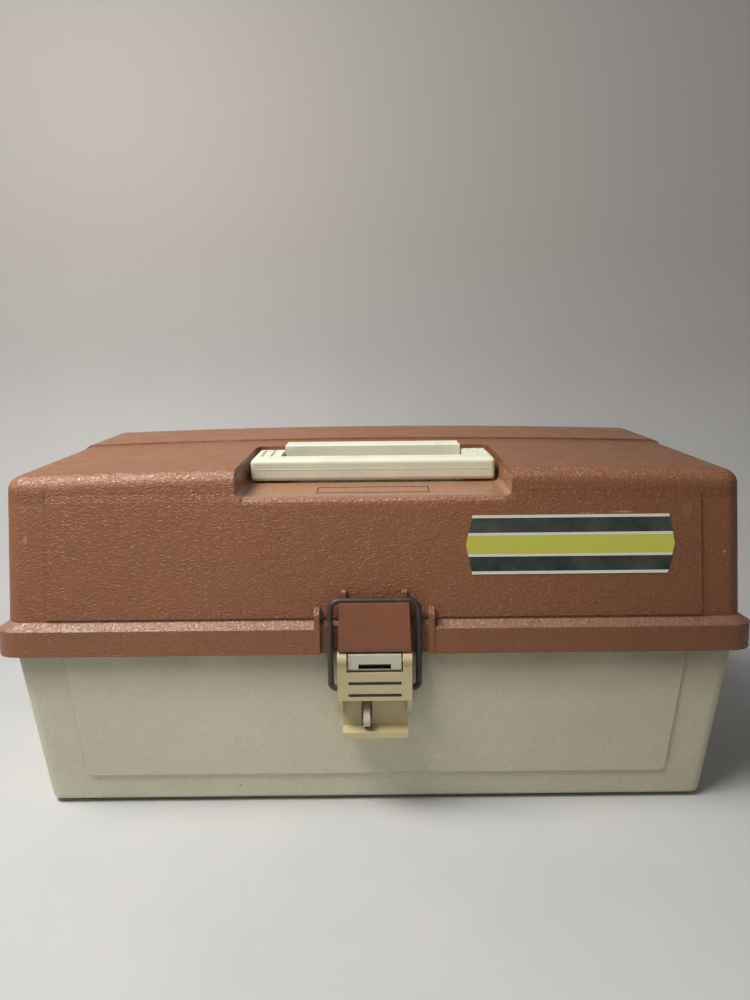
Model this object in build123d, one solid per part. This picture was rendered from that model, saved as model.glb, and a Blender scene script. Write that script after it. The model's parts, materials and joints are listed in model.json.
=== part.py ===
from build123d import *
import math
import os

os.makedirs("parts", exist_ok=True)

# Driving dimensions in millimetres and degrees.
# The box faces -Y, +Z is up, and the origin lies on the ground under the middle of the box.

# Skirt, the band round the lower edge of the lid and the widest part of the box
skirt_width = 480.0
skirt_depth = 232.0
skirt_bottom = 110.0
skirt_height = 16.1
skirt_corner = 16.0
skirt_wall = 3.0
shoulder_side_inset = 7.1
shoulder_front_inset = 5.9
shoulder_rise = 4.4

# Lid shell with drafted walls and a crowned top that rises towards the rear
lid_wall = 3.0
lid_draft = 3.0
lid_side_draft = 2.2
lid_corner = 10.5
lid_front_rise = 90.5
lid_slope = 4.87
lid_crown = 4.5
lid_top_round = 9.5
rear_section_gap = 28.8
rear_section_rise = 1.5
front_panel_half_top = 203.2
front_panel_half_bottom = 206.2
front_panel_rise = 0.9
front_panel_lift = 1.5
front_panel_fade = 5.0

# Recess for the handle, open at the front
recess_half = 86.0
recess_length = 110.0
recess_depth = 13.2
recess_corner = 6.0
recess_floor_round = 4.0
recess_lip_round = 4.0

# Base shell, tapered towards the ground
base_wall = 3.0
base_floor = 3.0
base_inset_top_x = 10.25
base_inset_top_y = 5.4
base_inset_bottom_x = 20.6
base_inset_bottom_y = 20.8
base_corner = 8.0
base_bottom_round = 3.5
rim_height = 4.0
rim_gap = 0.5
seat_gap = 0.3
shelf_gap = 0.6
foot_height = 2.5
foot_length = 46.0
foot_width = 16.0
foot_margin_x = 8.8
foot_margin_y = 8.0
base_panel_half_top = 198.3
base_panel_half_bottom = 192.0
base_panel_bottom = 21.5
base_panel_rise = 1.4
base_panel_corner = 6.0

# Rear hinge of moulded knuckles on steel pins
hinge_overhang = 2.0
hinge_lift = 2.0
knuckle_radius = 6.5
knuckle_length = 16.0
knuckle_gap = 0.6
knuckles_per_hinge = 5
hinge_offset = 140.0
hinge_pin_radius = 2.0
hinge_relief = 8.0
running_gap = 0.05

# Draw latch; heights are measured from the skirt's lower edge, depths from the latch's front face
latch_proud = 8.5
latch_half = 23.1
latch_wall = 3.0
latch_bevel = 1.5
latch_rise = 3.4
lever_pivot_depth = 3.3
lever_pivot_drop = 4.6
lever_pin_radius = 1.75
lever_face_drop = 27.0
lever_cheek_drop = 39.5
lever_cheek_width = 4.0
lever_web_inset = 2.6
lever_web_depth = 11.5
lever_web_wall = 2.5
lever_lip_drop = 53.5
lever_lip_height = 4.0
lever_lip_depth = 3.5
lever_notch_gap = 0.9
lever_notch_drop = 9.0
bail_wire_radius = 1.9
bail_side_gap = 4.4
bail_pivot_depth = 6.0
bail_pivot_drop = 20.7
bail_bar_depth = 9.0
bail_bar_rise = 34.2
bail_top_bend = 6.0
bail_low_bend = 3.5
bail_eye_wall = 1.8
bail_play = 0.3
bracket_inset = 6.7
bracket_plate = 2.5
bracket_drop = 52.0
bracket_block_drop = 8.2
bracket_set_back = 0.4
bracket_bevel = 1.6
bracket_slot_half = 10.0
bracket_slot_drop = 6.6
bracket_slot_height = 3.0
bracket_slot_depth = 3.0
eye_x = -5.3
eye_thickness = 4.2
eye_drop = 47.0
eye_height = 12.4
eye_tip_depth = 2.0
eye_hole_radius = 3.0
eye_slot_gap = 1.2
bracket_rivet_radius = 2.0
bracket_rivet_x = 10.0
bracket_rivet_drop = 17.0
catch_top_inset = 1.5
catch_bottom_inset = 0.7
catch_gap = 0.9
catch_rise = 33.6
catch_lip_wall = 1.2
catch_shelf_gap = 2.5
catch_stand_off = 0.8
catch_toe = 2.5
latch_side_room = 6.5
latch_rib_width = 3.5
latch_rib_rise = 29.5
latch_rib_slant = 4.0
latch_rib_proud = 0.4
latch_rib_top_depth = 2.0
latch_band_set_back = 2.6
latch_band_wall = 2.2
latch_notch_gap = 1.0
post_bend_gap = 0.9
post_width = 3.2
post_rise = 40.0
post_bevel = 1.0

# Handle; depths are measured from the rear wall of the recess
handle_side_gap = 3.0
handle_length = 56.0
handle_pivot_depth = 13.0
handle_height = 15.0
handle_floor_gap = 1.2
grip_thickness = 15.0
handle_arm_width = 19.0
handle_round = 3.0
handle_end_round = 2.4
handle_groove_width = 1.6
handle_groove_depth = 1.0
handle_groove_shares = (0.36, 0.7)
handle_pin_radius = 2.5
handle_pin_engagement = 9.0
handle_pin_cover = 2.0
mount_front_depth = 19.5
mount_rear_depth = 2.5
mount_gap = 0.7
mount_proud = 3.0
mount_round = 1.2

# Cantilever trays and arms
tray_side_room = 36.0
tray_front_room = 38.0
tray_rear_room = 54.0
tray_height = 28.0
tray_gap = 3.0
tray_drop = 16.0
tray_wall = 2.2
tray_floor = 2.0
tray_corner = 6.0
tray_pocket_corner = 3.0
tray_front_row = 66.0
tray_pivot_height = 9.0
tray_pivot_margin = 10.0
tray_bead = 1.0
tray_bead_height = 3.0
divider_thickness = 1.6
divider_fit = 0.2
divider_groove = 0.9
divider_drop = 2.0
front_row_dividers = 4
rear_row_dividers = 2
arm_rear_room = 34.0
arm_spacing = 32.0
arm_first_rise = 20.65
arm_width = 14.0
arm_thickness = 2.5
arm_side_gap = 1.5
arm_boss_gap = 0.5
arm_boss_radius = 8.0
rivet_radius = 2.5
rivet_head_radius = 4.5
rivet_head_height = 1.6
rivet_collar_radius = 4.0
rivet_play = 0.2
rivet_depth = 10.0

# Slotted guides that make the lid lift the trays
lid_travel = 100.0
arm_ratio = 0.7
guide_pin_rear_room = 38.0
guide_pin_height = 22.0
guide_pin_radius = 3.0
guide_plate_gap = 3.0
guide_plate_thickness = 2.5
guide_plate_height = 24.0
guide_slot_gap = 1.0
guide_boss_radius = 6.0
guide_boss_margin = 2.0

# Label plate on the lid's front
label_side_room = 117.5
label_rise = 46.8
label_half_length = 65.0
label_half_height = 18.5
label_point = 4.0
label_thickness = 0.4

# Overlap of pieces that are joined into one solid, and the reach of cuts past a surface
overlap = 1.0

# Derived values shared by several pieces
half_width = skirt_width / 2
half_depth = skirt_depth / 2
skirt_front = -half_depth
skirt_top = skirt_bottom + skirt_height
shoulder_top = skirt_top + shoulder_rise
draft_rate = math.tan(math.radians(lid_draft))
side_draft_rate = math.tan(math.radians(lid_side_draft))
slope_angle = math.radians(lid_slope)
slope_rate = math.tan(slope_angle)
lid_front_top = shoulder_top + lid_front_rise
lid_limit = lid_front_top + skirt_depth * slope_rate + 4 * lid_crown
front_edge_y = skirt_front + shoulder_front_inset + lid_front_rise * draft_rate
base_top = skirt_top - lid_wall - rim_height - shelf_gap
rim_top = base_top + rim_height
seat_z = rim_top + seat_gap
hinge_y = half_depth + hinge_overhang
hinge_z = skirt_bottom + hinge_lift
far = 2 * skirt_width

recess_rear = skirt_front + recess_length
rear_section_front = recess_rear + rear_section_gap
handle_half = recess_half - handle_side_gap
handle_front = recess_rear - handle_length
handle_pivot_y = recess_rear - handle_pivot_depth
mount_front = recess_rear - mount_front_depth
mount_rear = recess_rear - mount_rear_depth

latch_face = skirt_front - latch_proud
latch_top = skirt_bottom + latch_rise
lever_web_half = latch_half - lever_web_inset
bracket_half = latch_half - bracket_inset
lever_notch_half = bracket_half + lever_notch_gap
bail_half = latch_half + bail_side_gap
latch_gap_half = bail_half + latch_side_room
catch_half_top = latch_half - catch_top_inset
catch_half_bottom = latch_half - catch_bottom_inset
lever_pivot_y = latch_face + lever_pivot_depth
lever_pivot_z = latch_top - lever_pivot_drop
lever_face_bottom = skirt_bottom - lever_face_drop
lever_cheek_bottom = skirt_bottom - lever_cheek_drop
lever_web_y = latch_face + lever_web_depth
lever_lip_bottom = skirt_bottom - lever_lip_drop
lever_lip_y = latch_face + lever_lip_depth
lever_notch_bottom = skirt_bottom - lever_notch_drop
bail_pivot_y = latch_face + bail_pivot_depth
bail_pivot_z = skirt_bottom - bail_pivot_drop
bail_bar_y = latch_face + bail_bar_depth
bail_bar_z = skirt_bottom + bail_bar_rise
bracket_bottom = skirt_bottom - bracket_drop
bracket_block_bottom = skirt_bottom - bracket_block_drop
bracket_slot_low = skirt_bottom - bracket_slot_drop
bracket_rivet_z = skirt_bottom - bracket_rivet_drop
eye_low = skirt_bottom - eye_drop
eye_tip = latch_face + eye_tip_depth
catch_bottom = latch_top + catch_gap
catch_top = skirt_bottom + catch_rise
latch_rib_top = skirt_bottom + latch_rib_rise
latch_band_face = skirt_front + latch_band_set_back
latch_band_inner = latch_band_face + latch_band_wall
post_top = skirt_bottom + post_rise
post_half_spacing = bail_half - bail_top_bend - post_bend_gap - post_width / 2
groove_floor = bail_bar_z - bail_wire_radius - bail_play

tray_half = half_width - tray_side_room
tray_front = skirt_front + tray_front_room
tray_rear = half_depth - tray_rear_room
tray_row_split = tray_front + tray_front_row
tray_step = tray_height + tray_gap
tray_bottom = skirt_bottom - tray_drop
arm_base_rear = half_depth - arm_rear_room
arm_base_ys = [arm_base_rear, arm_base_rear - arm_spacing]
arm_base_z = tray_bottom + tray_pivot_height - arm_first_rise
arm_total_run = arm_base_ys[1] - tray_front - tray_pivot_margin
arm_total_rise = arm_first_rise + 2 * tray_step
arm_angle = math.degrees(math.atan2(arm_total_rise, arm_total_run))
arm_rise = math.sin(math.radians(arm_angle))
arm_run = math.cos(math.radians(arm_angle))
arm_lengths = [(arm_first_rise + tray_step * level) / arm_rise for level in range(3)]
arm_inner = tray_half + arm_side_gap
arm_outer = arm_inner + arm_thickness
boss_face = arm_outer + arm_boss_gap
guide_inner = arm_outer + guide_plate_gap
guide_outer = guide_inner + guide_plate_thickness
guide_pin_y = tray_rear - guide_pin_rear_room
guide_pin_z = tray_bottom + 2 * tray_step + guide_pin_height
label_x = half_width - label_side_room
label_z = shoulder_top + label_rise


def lid_side_inset(height):
    """Distance of the lid's side wall inside the skirt's outline at a height."""
    return shoulder_side_inset + (height - shoulder_top) * side_draft_rate


def lid_front_inset(height):
    """Distance of the lid's front and rear walls inside the skirt's outline at a height."""
    return shoulder_front_inset + (height - shoulder_top) * draft_rate


def lid_front_wall(height):
    """Y of the lid's front wall at a height, beside the raised front panel."""
    return skirt_front + lid_front_inset(height)


def lid_front_face(height):
    """Y of the raised front panel's face at a height."""
    return lid_front_wall(height) - front_panel_rise


def top_line(y):
    """Height of the lid top's side edge line at a depth."""
    return lid_front_top + (y - front_edge_y) * slope_rate


def base_inset(height, bottom, top):
    """Distance of the base's wall inside the skirt's outline at a height."""
    share = (height - foot_height) / (base_top - foot_height)
    return bottom + (top - bottom) * share


def base_front_wall(height):
    """Y of the base's outer front wall at a height."""
    return skirt_front + base_inset(height, base_inset_bottom_y, base_inset_top_y)


def base_front_panel(height):
    """Y of the raised front panel's face at a height."""
    return base_front_wall(height) - base_panel_rise


def base_side_wall(height):
    """X of the base's outer right wall at a height."""
    return half_width - base_inset(height, base_inset_bottom_x, base_inset_top_x)


def base_lean():
    """Angle of the base's front wall from the vertical, in radians."""
    return math.atan2(base_inset_bottom_y - base_inset_top_y, base_top - foot_height)


def skirt_outline(inset, height):
    """Face of the skirt's outline moved inward, at a height."""
    outline = RectangleRounded(skirt_width - 2 * inset, skirt_depth - 2 * inset, skirt_corner - inset)
    return Pos(0, 0, height) * outline


def side_profile(points, x_from, x_to):
    """Solid between two X values whose section is a closed outline of (y, z) points."""
    section = Plane.YZ * make_face(Polyline(*points, close=True))
    return Pos(x_from, 0, 0) * extrude(section, amount=x_to - x_from, dir=(1, 0, 0))


def front_profile(points, y_from, y_to):
    """Solid between two Y values whose section is a closed outline of (x, z) points."""
    section = Plane.XZ * make_face(Polyline(*points, close=True))
    return Pos(0, y_from, 0) * extrude(section, amount=y_to - y_from, dir=(0, 1, 0))


def tapered_sides(half_low, half_high, low, high):
    """Corners (across, z) of a symmetric section whose half width changes with the height."""
    return [(-half_low, low), (half_low, low), (half_high, high), (-half_high, high)]


def rod(radius, y, z, x_from, x_to):
    """Cylinder along X."""
    middle = (x_from + x_to) / 2
    return Pos(middle, y, z) * Rot(0, 90, 0) * Cylinder(radius, abs(x_to - x_from))


def block(x_from, x_to, y_from, y_to, z_from, z_to):
    """Box given by its limits."""
    size = Box(x_to - x_from, y_to - y_from, z_to - z_from)
    return Pos((x_from + x_to) / 2, (y_from + y_to) / 2, (z_from + z_to) / 2) * size


def upright_edges(body):
    """Edges of a body that run up or lean from one flat end to the other."""
    return [edge for edge in body.edges() if abs((edge % 0.5).Z) > 0.5]


def top_plane(y):
    """Plane on the lid's top edge line, with local Y running up the slope to the rear."""
    normal = (0, -math.sin(slope_angle), math.cos(slope_angle))
    return Plane(origin=(0, y, top_line(y)), x_dir=(1, 0, 0), z_dir=normal)


def on_slope(y):
    """Distance along the sloping top from the handle's pivot to a depth."""
    return (y - handle_pivot_y) / math.cos(slope_angle)


def sloped_block(x_from, x_to, y_from, y_to, low, high):
    """Box that follows the lid top's slope, between two levels measured from the edge line."""
    shape = block(x_from, x_to, on_slope(y_from), on_slope(y_to), low, high)
    return top_plane(handle_pivot_y) * shape


def sloped_rod(radius, level, x_from, x_to):
    """Cylinder along X through the handle's pivot, at a level measured from the edge line."""
    return top_plane(handle_pivot_y) * rod(radius, 0, level, x_from, x_to)


def under_crown(lift):
    """Everything below the lid's crowned top, raised by a distance along its normal."""
    arc_radius = (half_width ** 2 + lid_crown ** 2) / (2 * lid_crown)
    edge = 1.2 * half_width
    edge_height = lift + lid_crown - (arc_radius - math.sqrt(arc_radius ** 2 - edge ** 2))
    crown = ThreePointArc((-edge, edge_height), (0, lid_crown + lift), (edge, edge_height))
    sides = Polyline((edge, edge_height), (edge, -far / 2), (-edge, -far / 2), (-edge, edge_height))
    rear = skirt_depth
    plane = Plane(
        origin=(0, rear, top_line(rear)),
        x_dir=(1, 0, 0),
        z_dir=(0, -math.cos(slope_angle), -math.sin(slope_angle)),
    )
    return extrude(plane * make_face([crown, sides]), amount=2.5 * skirt_depth)


def lid_body(inside, bottom, lift):
    """Drafted lid body with rounded corners and a rounded, crowned top, its walls moved inward."""
    sections = []
    for half, inset in ((half_width, lid_side_inset), (half_depth, lid_front_inset)):
        low = half - inset(bottom) - inside
        high = half - inset(lid_limit) - inside
        sections.append(tapered_sides(low, high, bottom, lid_limit))
    body = front_profile(sections[0], -far, far) & side_profile(sections[1], -far, far)
    body = fillet(upright_edges(body), lid_corner - inside)
    body = body & under_crown(lift - inside)
    return fillet(body.faces().sort_by(Axis.Z)[-1].edges(), lid_top_round - inside)


def front_panel():
    """Raised panel on the lid's front between two leaning edges, which fades out under the top's rounding."""
    low = shoulder_top + front_panel_lift
    high = lid_front_top - lid_top_round - front_panel_rise
    fade = high - front_panel_fade
    slab = [
        (lid_front_face(low), low),
        (lid_front_face(fade), fade),
        (lid_front_wall(high), high),
        (lid_front_wall(high) + lid_wall / 2, high),
        (lid_front_wall(low) + lid_wall / 2, low),
    ]
    outline = tapered_sides(front_panel_half_bottom, front_panel_half_top, low, high)
    return side_profile(slab, -far, far) & front_profile(outline, -far, far)


def lid_recess():
    """Cutter for the handle's recess, with rounded rear corners, floor edges and front lip."""
    recess = sloped_block(-recess_half, recess_half, -skirt_depth, recess_rear, -recess_depth, far)
    rear_corners = recess.edges().filter_by(Axis.Z, tolerance=10).group_by(Axis.Y)[-1]
    recess = fillet(rear_corners, recess_corner)
    floor = recess.faces().sort_by(Axis.Z)[0]
    front_edge = floor.edges().sort_by(Axis.Y)[0]
    sides = [edge for edge in floor.edges() if not edge.is_same(front_edge)]
    recess = fillet(sides, recess_floor_round)
    lip_y = lid_front_face(lid_front_top - recess_depth)
    lip_z = top_line(lip_y) - recess_depth
    radius = recess_lip_round
    inner = recess_half - recess_floor_round
    lip = block(-inner, inner, lip_y - overlap, lip_y + radius, lip_z - radius, lip_z + overlap)
    return recess + (lip - rod(radius, lip_y + radius, lip_z - radius, -far, far))


def knuckle_positions(wanted):
    """Start and end X of the hinge knuckles of one kind: even ones on the base, odd ones on the lid."""
    pitch = knuckle_length + knuckle_gap
    spans = []
    for centre in (-hinge_offset, hinge_offset):
        for place in range(knuckles_per_hinge):
            if place % 2 == wanted:
                start = centre + (place - knuckles_per_hinge / 2) * pitch
                spans.append((start + knuckle_gap / 2, start + pitch - knuckle_gap / 2))
    return spans


def hinge_bores():
    """Holes for the two hinge pins."""
    half = knuckles_per_hinge * (knuckle_length + knuckle_gap) / 2
    radius = hinge_pin_radius + running_gap
    return [rod(radius, hinge_y, hinge_z, x - half, x + half) for x in (-hinge_offset, hinge_offset)]


def latch_surround(lid):
    """Sets the skirt back behind the latch and adds the two ribs and the two posts."""
    wall_foot = lid_front_face(shoulder_top)
    gap_profile = [
        (-far, skirt_bottom - overlap),
        (latch_band_face, skirt_bottom - overlap),
        (latch_band_face, shoulder_top - (wall_foot - latch_band_face)),
        (wall_foot, shoulder_top),
        (-far, shoulder_top),
    ]
    lid = lid - side_profile(gap_profile, -latch_gap_half, latch_gap_half)
    notch_half = latch_half + latch_notch_gap
    lid = lid - block(-notch_half, notch_half, skirt_front, latch_band_inner + overlap, 0, catch_bottom)
    rib_root = lid_front_face(latch_rib_top) + lid_wall / 2
    rib_face = skirt_front - latch_rib_proud
    rib_profile = [
        (rib_root, shoulder_top - overlap),
        (latch_band_inner, shoulder_top - overlap),
        (latch_band_inner, skirt_bottom),
        (rib_face, skirt_bottom),
        (rib_face, latch_rib_top - latch_rib_slant),
        (skirt_front + latch_rib_top_depth, latch_rib_top),
        (rib_root, latch_rib_top),
    ]
    post_face = bail_bar_y + bail_wire_radius + bail_play
    post_root = lid_front_face(post_top) + lid_wall / 2
    post_profile = [
        (post_root, groove_floor),
        (post_face, groove_floor),
        (post_face, post_top - post_bevel),
        (post_face + post_bevel, post_top),
        (post_root, post_top),
    ]
    rib_middle = latch_gap_half + latch_rib_width / 2
    for side in (-1, 1):
        for profile, middle, width in (
            (rib_profile, side * rib_middle, latch_rib_width),
            (post_profile, side * post_half_spacing, post_width),
        ):
            lid = lid + side_profile(profile, middle - width / 2, middle + width / 2)
    return lid


def shoulder_slope():
    """Sloping shoulder from the skirt's top edge to just inside the lid's walls."""
    reach = 1 + overlap / shoulder_rise
    side_inset = reach * shoulder_side_inset
    front_inset = reach * shoulder_front_inset
    corner = skirt_corner - side_inset
    edge = RectangleRounded(skirt_width - 2 * side_inset, skirt_depth - 2 * front_inset, corner)
    edge = Pos(0, 0, skirt_top + reach * shoulder_rise) * edge
    return loft([skirt_outline(0, skirt_top), edge], ruled=True)


def make_lid():
    """Lid shell with skirt, recess, raised panels, latch surround, hinge knuckles and guide bosses."""
    skirt = extrude(skirt_outline(0, skirt_bottom), amount=skirt_height)
    shoulder = shoulder_slope()
    rear_half = block(-far, far, rear_section_front, far, 0, far)
    rear_section = lid_body(0, shoulder_top, rear_section_rise) & rear_half
    lid = lid_body(0, shoulder_top, 0) + front_panel() + rear_section + shoulder + skirt

    inside = lid_body(lid_wall, seat_z, 0)
    tub_half = recess_half + lid_wall
    tub_floor = -recess_depth - lid_wall
    inside = inside - sloped_block(-tub_half, tub_half, -skirt_depth, recess_rear + lid_wall, tub_floor, far)
    skirt_inside = extrude(skirt_outline(skirt_wall, skirt_bottom), amount=seat_z - skirt_bottom)
    rib_outer = latch_gap_half + latch_rib_width
    skirt_inside = skirt_inside - block(-rib_outer, rib_outer, -far, latch_band_inner, 0, far)
    lid = lid - inside - skirt_inside - lid_recess()
    lid = latch_surround(lid)

    clear = knuckle_radius + knuckle_gap
    for start, end in knuckle_positions(0):
        relief = half_depth - hinge_relief
        lid = lid - block(start - knuckle_gap, end + knuckle_gap, relief, far, 0, hinge_z + clear)
    for start, end in knuckle_positions(1):
        lid = lid + rod(knuckle_radius, hinge_y, hinge_z, start, end)
    lid = lid - hinge_bores()

    for side in (-1, 1):
        for y, z in guide_screws():
            wall_x = half_width - lid_side_inset(z) - lid_wall / 2
            lid = lid + rod(guide_boss_radius, y, z, side * guide_outer, side * wall_x)
    return lid


def guide_path(lid_angle):
    """Place of the upper tray's guide pin in the closed lid, for a lid angle in degrees."""
    arm = math.radians(arm_angle + arm_ratio * lid_angle)
    y = guide_pin_y + arm_lengths[2] * (arm_run - math.cos(arm)) - hinge_y
    z = guide_pin_z + arm_lengths[2] * (math.sin(arm) - arm_rise) - hinge_z
    turn = math.radians(lid_angle)
    back_y = y * math.cos(turn) - z * math.sin(turn)
    back_z = y * math.sin(turn) + z * math.cos(turn)
    return hinge_y + back_y, hinge_z + back_z


def guide_screws():
    """Two (y, z) places where a guide plate is fixed, beyond the ends of its slot."""
    first = guide_path(0)
    last = guide_path(lid_travel)
    length = math.dist(first, last)
    reach = guide_pin_radius + guide_slot_gap + guide_boss_radius + guide_boss_margin
    unit = ((last[0] - first[0]) / length, (last[1] - first[1]) / length)
    before = (first[0] - unit[0] * reach, first[1] - unit[1] * reach)
    after = (last[0] + unit[0] * reach, last[1] + unit[1] * reach)
    return [before, after]


def base_body(inside, bottom, top, rounding):
    """Tapered base body with rounded corners and a rounded underside, its walls moved inward."""
    halves = []
    for half, low, high in (
        (half_width, base_inset_bottom_x, base_inset_top_x),
        (half_depth, base_inset_bottom_y, base_inset_top_y),
    ):
        half_low = half - base_inset(bottom, low, high) - inside
        half_high = half - base_inset(top, low, high) - inside
        halves.append(tapered_sides(half_low, half_high, bottom, top))
    body = front_profile(halves[0], -far, far) & side_profile(halves[1], -far, far)
    body = fillet(upright_edges(body), base_corner - inside)
    return fillet(body.faces().sort_by(Axis.Z)[0].edges(), rounding)


def base_panel():
    """Raised panel on the base's front with rounded lower corners."""
    slab = [
        (base_front_panel(base_panel_bottom), base_panel_bottom),
        (base_front_panel(base_top), base_top),
        (base_front_wall(base_top) + base_wall / 2, base_top),
        (base_front_wall(base_panel_bottom) + base_wall / 2, base_panel_bottom),
    ]
    corners = tapered_sides(base_panel_half_bottom, base_panel_half_top, base_panel_bottom, base_top)
    outline = make_face(Polyline(*corners, close=True))
    outline = fillet(outline.vertices().group_by(Axis.Y)[0], base_panel_corner)
    reach = extrude(Plane.XZ * outline, amount=half_depth)
    return side_profile(slab, -half_width, half_width) & reach


def make_base():
    """Base shell with rim, raised front panel, feet, hinge knuckles and bosses for the arms."""
    base = base_body(0, foot_height, base_top, base_bottom_round)
    base = base + extrude(skirt_outline(skirt_wall + rim_gap, base_top), amount=rim_height)
    base = base + base_panel()

    rib_outer = latch_gap_half + latch_rib_width + overlap
    gap_low = skirt_bottom - rim_gap - overlap
    base = base - block(-rib_outer, rib_outer, -far, latch_band_inner + rim_gap, gap_low, far)
    base = base - base_body(base_wall, foot_height + base_floor, rim_top + overlap, base_bottom_round)

    foot = RectangleRounded(foot_length, foot_width, foot_width / 2 - running_gap)
    foot = extrude(foot, amount=foot_height)
    foot_x = half_width - base_inset_bottom_x - foot_margin_x - foot_length / 2
    foot_y = half_depth - base_inset_bottom_y - foot_margin_y - foot_width / 2
    for side_x in (-1, 1):
        for side_y in (-1, 1):
            base = base + Pos(side_x * foot_x, side_y * foot_y, 0) * foot

    wall_x = base_side_wall(arm_base_z) - base_wall / 2
    for side in (-1, 1):
        for y, z in guide_screws():
            base = base - rod(guide_boss_radius + rim_gap, y, z, side * guide_outer, side * half_width)
        for y in arm_base_ys:
            boss = rod(arm_boss_radius, y, arm_base_z, side * boss_face, side * wall_x)
            depth = boss_face + rivet_depth
            bore = rod(rivet_radius + running_gap, y, arm_base_z, side * boss_face, side * depth)
            base = base + boss - bore

    gusset_low = hinge_z - 2 * knuckle_radius
    gusset = [
        (-base_front_wall(gusset_low) - base_wall / 2, gusset_low),
        (hinge_y, hinge_z - knuckle_radius),
        (hinge_y, hinge_z),
        (-base_front_wall(hinge_z) - base_wall / 2, hinge_z),
    ]
    for start, end in knuckle_positions(0):
        base = base + side_profile(gusset, start, end) + rod(knuckle_radius, hinge_y, hinge_z, start, end)
    base = base - hinge_bores()
    for x in (-bracket_rivet_x, bracket_rivet_x):
        base = base - bracket_plane(x) * Cylinder(bracket_rivet_radius + running_gap, 4 * base_wall)
    return base


def bracket_plane(x):
    """Plane on the base's front panel at a bracket rivet, with its normal pointing forward."""
    origin = (x, base_front_panel(bracket_rivet_z), bracket_rivet_z)
    normal = (0, -math.cos(base_lean()), -math.sin(base_lean()))
    return Plane(origin=origin, x_dir=(1, 0, 0), z_dir=normal)


def make_latch_bracket():
    """Hinge block, back plate and padlock eye of the latch, fixed to the base's front panel."""
    top = latch_top - bracket_set_back
    front = latch_face + bracket_set_back
    plate = [
        (base_front_panel(bracket_bottom), bracket_bottom),
        (base_front_panel(bracket_bottom) - bracket_plate, bracket_bottom),
        (base_front_panel(top) - bracket_plate, top),
        (base_front_panel(top), top),
    ]
    hinge_block = [
        (base_front_panel(bracket_block_bottom) - bracket_plate / 2, bracket_block_bottom),
        (front + bracket_bevel, bracket_block_bottom),
        (front, bracket_block_bottom + bracket_bevel),
        (front, top - bracket_bevel / 2),
        (front + bracket_bevel / 2, top),
        (base_front_panel(top) - bracket_plate / 2, top),
    ]
    bracket = side_profile(plate, -bracket_half, bracket_half)
    bracket = bracket + side_profile(hinge_block, -bracket_half, bracket_half)
    slot_back = front + bracket_slot_depth
    slot_high = bracket_slot_low + bracket_slot_height
    slot_half = bracket_slot_half
    bracket = bracket - block(-slot_half, slot_half, -far, slot_back, bracket_slot_low, slot_high)
    radius = eye_height / 2
    middle = eye_low + radius
    root = base_front_panel(middle) - bracket_plate / 2
    eye_from = eye_x - eye_thickness / 2
    eye_to = eye_x + eye_thickness / 2
    eye = block(eye_from, eye_to, eye_tip + radius, root, eye_low, eye_low + eye_height)
    eye = eye + rod(radius, eye_tip + radius, middle, eye_from, eye_to)
    eye = eye - rod(eye_hole_radius, eye_tip + radius, middle, eye_from - overlap, eye_to + overlap)
    bracket = bracket + eye
    bracket = bracket - rod(lever_pin_radius + running_gap, lever_pivot_y, lever_pivot_z, -far, far)
    for x in (-bracket_rivet_x, bracket_rivet_x):
        hole = Cylinder(bracket_rivet_radius + running_gap, 4 * bracket_plate)
        bracket = bracket - bracket_plane(x) * hole
    return bracket


def make_bracket_rivets():
    """Two rivets with a head inside the base and one on the bracket's plate."""
    inner = -(base_wall + base_panel_rise) * math.cos(base_lean())
    outer = bracket_plate * math.cos(base_lean())
    rivets = []
    for x in (-bracket_rivet_x, bracket_rivet_x):
        rivet = Pos(0, 0, (inner + outer) / 2) * Cylinder(bracket_rivet_radius, outer - inner)
        head = Cylinder(rivet_head_radius, rivet_head_height)
        for end, way in ((inner, -1), (outer, 1)):
            rivet = rivet + Pos(0, 0, end + way * rivet_head_height / 2) * head
        rivets.append(bracket_plane(x) * rivet)
    return rivets


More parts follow.
